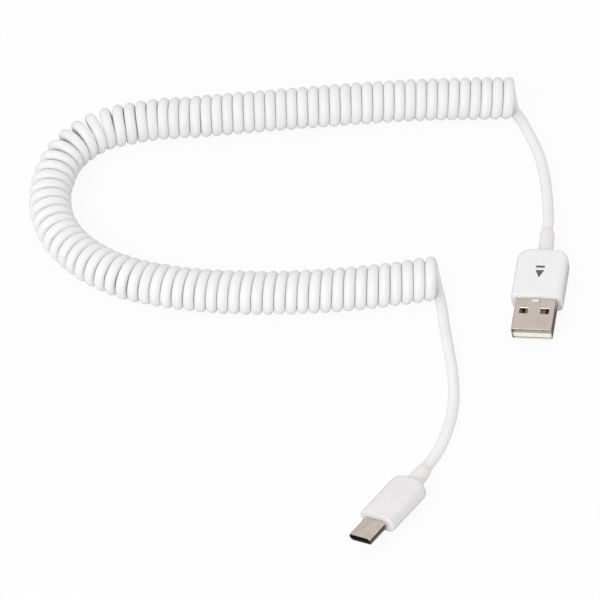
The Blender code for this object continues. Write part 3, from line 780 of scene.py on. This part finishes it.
def bent_aside(prefix, place, y):
    """How far to the side a relief's middle lies, at one place along the plug."""
    leaves, ends = relief_span(prefix, place)
    return RELIEF_BEND[prefix] * max(0.0, (y - leaves) / (ends - leaves)) ** 2


def relief_exit(prefix, place):
    """Two points straight out of a strain relief, the nearer one first."""
    leaves, ends = relief_span(prefix, place)
    slope = 2 * RELIEF_BEND[prefix] / (ends - leaves)
    near = Vector((RELIEF_BEND[prefix], ends, 0))
    return [place @ near, place @ (near + Vector((slope, 1, 0)) * RELIEF_STRAIGHT)]


def set_blend(piece, weights):
    """Overwrites how much each ring of a tube follows the second body."""
    layer = piece.data.attributes["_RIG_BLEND"]
    count = len(piece.data.vertices)
    sides = count // len(weights)
    values = np.repeat(np.array(weights, dtype=np.float32), sides)
    layer.data.foreach_set("value", values)


def inner_line(prefix, place):
    """The line of the cable inside a plug and its strain relief, from the far end in."""
    low, high = local_box(place, f"{prefix}_cable_end")
    steps = np.linspace(high.y, low.y, INNER_CABLE_POINTS)
    return [place @ Vector((bent_aside(prefix, place, y), y, 0)) for y in steps]


def add_cable(plug_pieces):
    """The whole cable, as two cords that meet under the coil."""
    wire = coil_wire()
    # One cord ends and the other begins under the coil, where the top run's CAD solid ends.
    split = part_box("coil_top_run")[0][0]
    turns = range(0, len(wire), POINTS_PER_TURN)
    join = next(i for i in turns if wire[i].x < split)
    step = (wire[1] - wire[0]).length

    exit_a, far = relief_exit("usb_a", PLUG_A)
    tail = [exit_a, far] + [Vector(point) for point in reversed(USB_A_TAIL_ROUTE)]
    line = on_floor(smooth_route(tail + wire[:join + 1], step))
    lengths = np.array(line_lengths(line))
    in_coil = line_lengths(wire[:join + 1])[-1]
    radii = cable_radii(lengths, lengths[-1] - in_coil, 2 * lengths[-1])
    piece = add_piece("usb_a_cable", tube("usb_a_cable", line, radii), JACKET)
    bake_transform(piece, "usb_a_run", "coil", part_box("coil_top_run")[1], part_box("coil_bend")[1])
    set_blend(piece, np.clip(1 - (lengths[-1] - lengths) / in_coil, 0, 1))
    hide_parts("cable_usb_a_tail", "coil_top_run")

    exit_c, far = relief_exit("usb_c", PLUG_C)
    tail = [Vector(point) for point in USB_C_TAIL_ROUTE] + [far] + inner_line("usb_c", PLUG_C)
    line = on_floor(smooth_route(wire[join:] + tail, step))
    lengths = line_lengths(line)
    radii = cable_radii(lengths, -lengths[-1], line_lengths(wire[join:])[-1])
    piece = add_piece("usb_c_cable", tube("usb_c_cable", line, radii), JACKET)
    face, relief_end = relief_span("usb_c", PLUG_C)
    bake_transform(piece, "coil", "usb_c_plug", exit_c, PLUG_C @ Vector((0, face, 0)))
    into_plug = PLUG_C.inverted()
    places = np.array([(into_plug @ point).y for point in line])
    shares = np.clip((relief_end - places) / (relief_end - face), 0, 1)
    shares[:-len(tail)] = 0
    set_blend(piece, shares**2 * (3 - 2 * shares))
    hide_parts("cable_usb_c_tail", "coil_bend", "coil_lower_run", "usb_c_cable_end")


# ---------------------------------------------------------------- the plugs


def housing_mesh(name, place, node, corner, rear_corner, rear_edge, mouth, bore):
    """A white body: soft front edge, rounded rear corners, hollow round its contents."""
    size = sizes(place, node)
    length = size.y
    wall = HOUSING_WALL
    stations = []
    for step in range(FRONT_EDGE_STEPS):
        angle = math.radians(90 * step / (FRONT_EDGE_STEPS - 1))
        inset = FRONT_EDGE_RADIUS * (1 - math.sin(angle))
        outline = rounded_rectangle(size.x - 2 * inset, size.z - 2 * inset, corner - inset)
        stations.append((FRONT_EDGE_RADIUS * (1 - math.cos(angle)), outline))
    for step in range(REAR_CORNER_STEPS):
        angle = math.radians(90 * step / (REAR_CORNER_STEPS - 1))
        y = length - rear_corner * (1 - math.sin(angle))
        inset = rear_corner * (1 - math.cos(angle))
        into_edge = max(0.0, y - (length - rear_edge))
        drop = rear_edge - math.sqrt(max(0.0, rear_edge**2 - into_edge**2))
        outline = rounded_rectangle(size.x - 2 * inset, size.z - 2 * drop, corner)
        stations.append((y, outline))
    inner = rounded_rectangle(size.x - 2 * wall, size.z - 2 * wall, corner - wall)
    stations += [
        (length, bore),
        (length - 2 * wall, bore),
        (length - 2 * wall - rear_corner, inner),
        (2 * wall, inner),
        (2 * wall, mouth),
        (0.0, mouth),
    ]
    return loft(name, stations)


def shell_mesh(name, place, node, corner, wall, rim, rim_slot):
    """A drawn metal tube with a softened rim. Its inside takes the second material slot."""
    low, high = local_box(place, node)
    size = high - low
    inner_rim = wall - rim - INNER_EDGE_GAP
    stations = []
    last = SHELL_EDGE_STEPS - 1
    for step in range(SHELL_EDGE_STEPS):
        angle = math.radians(90 * step / last)
        inset = rim * (1 - math.sin(angle))
        outline = rounded_rectangle(size.x - 2 * inset, size.z - 2 * inset, corner - inset)
        stations.append((low.y + rim * (1 - math.cos(angle)), outline))
    stations.append((high.y, rounded_rectangle(size.x, size.z, corner)))
    stations.append((high.y, rounded_rectangle(size.x - 2 * wall, size.z - 2 * wall, corner - wall)))
    for step in range(SHELL_EDGE_STEPS):
        angle = math.radians(90 * (last - step) / last)
        inset = wall - inner_rim * (1 - math.sin(angle))
        outline = rounded_rectangle(size.x - 2 * inset, size.z - 2 * inset, corner - inset)
        stations.append((low.y + inner_rim * (1 - math.cos(angle)), outline))
    return loft(name, stations, slots=[rim_slot] * last + [0, 1, 1] + [rim_slot] * (last + 1))


def flared_window(shape, x, y, face, inward):
    """Adds a cutter that opens out at a shell face. inward is 1 for a face looking down."""
    rings = []
    for depth, flare in WINDOW_LEVELS:
        across = WINDOW_WIDTH / 2 + flare
        along = WINDOW_LENGTH / 2 + flare
        corners = ((-across, -along), (across, -along), (across, along), (-across, along))
        z = face + inward * depth
        rings.append([shape.verts.new((x + dx, y + dy, z)) for dx, dy in corners])
    shape.faces.new(rings[0])
    shape.faces.new(rings[-1])
    for first, second in zip(rings, rings[1:]):
        for i in range(4):
            j = (i + 1) % 4
            shape.faces.new((first[i], first[j], second[j], second[i]))


def cut_windows(mesh, half_height):
    """The same shell with its four latch windows cut, two in each broad face."""
    shape = bmesh.new()
    for x, y in WINDOW_PLACES:
        flared_window(shape, x, y, half_height, -1)
        flared_window(shape, x, y, -half_height, 1)
    cutter = bpy.data.objects.new("window_cutter", finish_mesh("window_cutter", shape))
    shell = bpy.data.objects.new("uncut_shell", mesh)
    for made in (cutter, shell):
        bpy.context.scene.collection.objects.link(made)
    boolean = shell.modifiers.new("windows", "BOOLEAN")
    boolean.operation = "DIFFERENCE"
    boolean.solver = "EXACT"
    boolean.object = cutter
    bpy.context.view_layer.update()
    finished = shell.evaluated_get(bpy.context.evaluated_depsgraph_get())
    cut = bpy.data.meshes.new_from_object(finished)
    for made in (cutter, shell):
        bpy.data.objects.remove(made, do_unlink=True)
    cut.shade_smooth()
    cut.set_sharp_from_angle(angle=math.radians(30))
    return cut


def pip_mesh(name, top):
    """A low oval swelling with steep sides and a brighter top, which is a painted highlight."""
    shape = bmesh.new()
    rings = []
    for share, rise, _ in PIP_RINGS:
        ring = []
        for turn in range(PIP_POINTS):
            angle = 2 * math.pi * turn / PIP_POINTS
            x = PIP_WIDTH / 2 * share * math.cos(angle)
            y = PIP_LENGTH / 2 * share * math.sin(angle) - PIP_FROM_HOUSING
            ring.append(shape.verts.new((x, y, top + rise)))
        rings.append(ring)
    shape.faces.new(rings[0])
    shape.faces.new(rings[-1]).material_index = 1
    for (first, second), (_, _, slot) in zip(zip(rings, rings[1:]), PIP_RINGS):
        for i in range(len(first)):
            j = (i + 1) % len(first)
            shape.faces.new((first[i], first[j], second[j], second[i])).material_index = slot
    return finish_mesh(name, shape)


def insertion_mark(name, top):
    """A triangle that points the way the plug goes in, with a bar behind it."""
    half = MARK_WIDTH / 2
    front = MARK_FROM_FRONT - MARK_LENGTH / 2
    shoulder = front + MARK_LENGTH * MARK_TRIANGLE_SHARE
    bar = front + MARK_LENGTH
    shape = bmesh.new()
    outlines = (
        [(0, front), (half, shoulder), (-half, shoulder)],
        [(-half, bar - MARK_BAR), (half, bar - MARK_BAR), (half, bar), (-half, bar)],
    )
    for outline in outlines:
        low = [shape.verts.new((x, y, top - MARK_HEIGHT)) for x, y in outline]
        high = [shape.verts.new((x, y, top + MARK_HEIGHT)) for x, y in outline]
        shape.faces.new(low)
        shape.faces.new(high)
        for i in range(len(outline)):
            j = (i + 1) % len(outline)
            shape.faces.new((low[i], low[j], high[j], high[i]))
    return finish_mesh(name, shape)


def relief_piece(prefix, place, run_body):
    """The soft sleeve behind a plug, with its cable inside, bending with the plug."""
    low, high = local_box(place, f"{prefix}_strain_relief")
    base = high.x - low.x
    tip = base - RELIEF_TAPER[prefix]
    lip = CABLE_DIAMETER + 2 * RELIEF_LIP
    exit_face = local_box(place, f"{prefix}_housing")[1].y
    shoulder = high.y - RELIEF_SHOULDER
    bore = circle(CABLE_DIAMETER + RELIEF_BORE_GAP)
    stations = [(low.y, circle(base)), (exit_face, circle(base))]
    for step in range(1, RELIEF_STEPS + 1):
        share = step / RELIEF_STEPS
        narrowed = circle(base + (tip - base) * share)
        stations.append((exit_face + (shoulder - exit_face) * share, narrowed))
    for step in range(1, RELIEF_STEPS + 1):
        share = step / RELIEF_STEPS
        fall = share**2 * (3 - 2 * share)
        stations.append((shoulder + (high.y - shoulder) * share, circle(tip + (lip - tip) * fall)))
    stations.append((high.y, bore))
    for step in range(RELIEF_STEPS + 1):
        share = (step + 0.5) / (RELIEF_STEPS + 1)
        stations.append((high.y + (low.y - high.y) * share, bore))
    stations.append((low.y, bore))
    sleeve = loft(f"{prefix}_relief_sleeve", stations)
    for vertex in sleeve.vertices:
        vertex.co.x += bent_aside(prefix, place, vertex.co.y)
    piece = add_piece(f"{prefix}_relief_sleeve", sleeve, RELIEF, place)
    start = place @ Vector((0, exit_face, 0))
    end = place @ Vector((0, high.y, 0))
    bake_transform(piece, f"{prefix}_plug", run_body, start, end)
    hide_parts(f"{prefix}_strain_relief")

    if prefix == "usb_c":
        return piece
    line = inner_line(prefix, place)
    mesh = tube(f"{prefix}_inner_cable", line, [CABLE_DIAMETER / 2] * len(line))
    inside = add_piece(f"{prefix}_inner_cable", mesh, JACKET)
    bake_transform(inside, f"{prefix}_plug", run_body, start, end)
    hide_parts(f"{prefix}_cable_end")
    return piece


def ride_plug(piece, body, slot, *nodes):
    """Makes a piece ride on its plug, and hides the CAD nodes that it stands for."""
    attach(piece, body)
    if nodes:
        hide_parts(*nodes)


def add_usb_a():
    """The wide flat plug, with its tongue kept from the CAD."""
    place = PLUG_A
    body = "usb_a_plug"
    shell = sizes(place, "usb_a_shell")
    relief = sizes(place, "usb_a_strain_relief").x
    mouth = rounded_rectangle(shell.x + MOUTH_GAP, shell.z + MOUTH_GAP, A_SHELL_CORNER)
    mesh = housing_mesh(
        "usb_a_body", place, "usb_a_housing", A_SECTION_CORNER, A_REAR_CORNER, A_REAR_EDGE,
        mouth, circle(relief + RELIEF_SEAT_GAP)
    )
    ride_plug(add_piece("usb_a_body", mesh, A_HOUSING, place), body, "white_plastic", "usb_a_housing")

    uncut = shell_mesh(
        "usb_a_sleeve", place, "usb_a_shell", A_SHELL_CORNER, A_SHELL_WALL, A_SHELL_EDGE, rim_slot=2
    )
    metal = add_piece("usb_a_sleeve", cut_windows(uncut, shell.z / 2), NICKEL, place)
    # The shell's inside takes the dark brown of painted shade.
    metal.data.materials.append(PAINTED_SHADE_INSIDE)
    # Slot 2, for the rims: the pale metal of a painted highlight.
    metal.data.materials.append(PAINTED_HIGHLIGHT_METAL)
    ride_plug(metal, body, "nickel", "usb_a_shell")
    pip = add_piece("usb_a_pip", pip_mesh("usb_a_pip", shell.z / 2), NICKEL, place)
    # The pip's top takes the pale metal of a painted highlight.
    pip.data.materials.append(PAINTED_HIGHLIGHT_METAL)
    ride_plug(pip, body, "nickel")
    mesh = insertion_mark("usb_a_insertion_mark", sizes(place, "usb_a_housing").z / 2)
    ride_plug(add_piece("usb_a_insertion_mark", mesh, MARK, place), body, "black_plastic")
    node = frame["nodes"]["usb_a_tongue"]
    node.data.materials.clear()
    node.data.materials.append(CREAM)
    relief_piece("usb_a", place, "usb_a_run")


def add_usb_c():
    """The slim oval plug. Gives back the pieces at the cable's end."""
    place = PLUG_C
    body = "usb_c_plug"
    shell = sizes(place, "usb_c_shell")
    relief = sizes(place, "usb_c_strain_relief").x
    mouth = rounded_rectangle(shell.x + MOUTH_GAP, shell.z + MOUTH_GAP, shell.z)
    mesh = housing_mesh(
        "usb_c_body", place, "usb_c_housing", C_SECTION_CORNER, C_REAR_CORNER, C_REAR_EDGE,
        mouth, circle(relief + RELIEF_SEAT_GAP)
    )
    # The body takes the darker white of painted shade.
    white = add_piece("usb_c_body", mesh, C_BODY_PAINTED_SHADE, place)
    ride_plug(white, body, "white_plastic", "usb_c_housing")
    mesh = shell_mesh(
        "usb_c_sleeve", place, "usb_c_shell", shell.z / 2, C_SHELL_WALL, C_SHELL_EDGE, rim_slot=0
    )
    metal = add_piece("usb_c_sleeve", mesh, POLISHED, place)
    # The shell's inside takes the black plastic as painted shade in its mouth.
    metal.data.materials.append(DARK_PLASTIC_AND_PAINTED_SHADE)
    ride_plug(metal, body, "nickel", "usb_c_shell")
    node = frame["nodes"]["usb_c_insulator"]
    node.data.materials.clear()
    node.data.materials.append(DARK_PLASTIC_AND_PAINTED_SHADE)
    return [white, metal, relief_piece("usb_c", place, "coil"), "usb_c_insulator"]


# ---------------------------------------------------------------- studio


def floor_material():
    """White to the eye, pale to what bounces off it, and grey to what mirrors it."""
    material = bpy.data.materials.new("floor_white")
    material.use_nodes = True
    tree = material.node_tree
    tree.nodes.remove(tree.nodes["Principled BSDF"])
    rays = add_node(tree, "ShaderNodeLightPath")
    pale = add_node(tree, "ShaderNodeBsdfDiffuse")
    pale.inputs["Color"].default_value = (0.88, 0.88, 0.88, 1)
    grey = add_node(tree, "ShaderNodeBsdfDiffuse")
    grey.inputs["Color"].default_value = (0.24, 0.23, 0.22, 1)
    white = add_node(tree, "ShaderNodeEmission")
    mirrored = add_node(tree, "ShaderNodeMixShader")
    tree.links.new(rays.outputs["Is Glossy Ray"], mirrored.inputs["Fac"])
    tree.links.new(pale.outputs["BSDF"], mirrored.inputs[1])
    tree.links.new(grey.outputs["BSDF"], mirrored.inputs[2])
    seen = add_node(tree, "ShaderNodeMath", operation="MULTIPLY")
    seen.inputs[1].default_value = FLOOR_WHITENESS
    tree.links.new(rays.outputs["Is Camera Ray"], seen.inputs[0])
    mix = add_node(tree, "ShaderNodeMixShader")
    tree.links.new(seen.outputs["Value"], mix.inputs["Fac"])
    tree.links.new(mirrored.outputs["Shader"], mix.inputs[1])
    tree.links.new(white.outputs["Emission"], mix.inputs[2])
    tree.links.new(mix.outputs["Shader"], tree.nodes["Material Output"].inputs["Surface"])
    return material


def add_floor():
    """A plain level floor, far wider than the object."""
    shape = bmesh.new()
    bmesh.ops.create_grid(shape, x_segments=1, y_segments=1, size=FLOOR_HALF_WIDTH)
    mesh = bpy.data.meshes.new("floor")
    shape.to_mesh(mesh)
    shape.free()
    floor = add_piece("floor", mesh, floor_material())


def add_dark_card():
    """A dark card beside the object, out of sight, that only its metal mirrors."""
    shape = bmesh.new()
    near, far = CARD_Y
    corners = ((near, 0.0), (far, 0.0), (far, CARD_HEIGHT), (near, CARD_HEIGHT))
    shape.faces.new([shape.verts.new((CARD_X, y, z)) for y, z in corners])
    mesh = bpy.data.meshes.new("dark_card")
    shape.to_mesh(mesh)
    shape.free()
    material = bpy.data.materials.new("dark_card")
    material.use_nodes = True
    shader = material.node_tree.nodes["Principled BSDF"]
    shader.inputs["Base Color"].default_value = (0.02, 0.02, 0.02, 1)
    card = add_piece("dark_card", mesh, material)
    card.visible_camera = False
    card.visible_diffuse = False
    card.visible_shadow = False


def add_front_light():
    """One broad soft light, high at the front."""
    data = bpy.data.lights.new("front_light", "AREA")
    data.shape = "SQUARE"
    data.size = FRONT_LIGHT_SIZE
    data.energy = FRONT_LIGHT_POWER
    light = bpy.data.objects.new("front_light", data)
    bpy.context.scene.collection.objects.link(light)
    light.location = FRONT_LIGHT_PLACE
    direction = Vector(FRONT_LIGHT_TARGET) - Vector(FRONT_LIGHT_PLACE)
    light.rotation_euler = direction.to_track_quat("-Z", "Y").to_euler()


def add_studio():
    """An even white surround, with the front light and the dark card."""
    world = bpy.data.worlds.new("studio")
    bpy.context.scene.world = world
    world.use_nodes = True
    sky = world.node_tree.nodes["Background"]
    sky.inputs["Color"].default_value = (1, 1, 1, 1)
    sky.inputs["Strength"].default_value = SKY_STRENGTH
    add_front_light()
    add_dark_card()
    bpy.context.scene.view_settings.view_transform = "Standard"


add_camera()
add_usb_a()
add_cable(add_usb_c())
dress_inner_nodes()
add_floor()
add_studio()
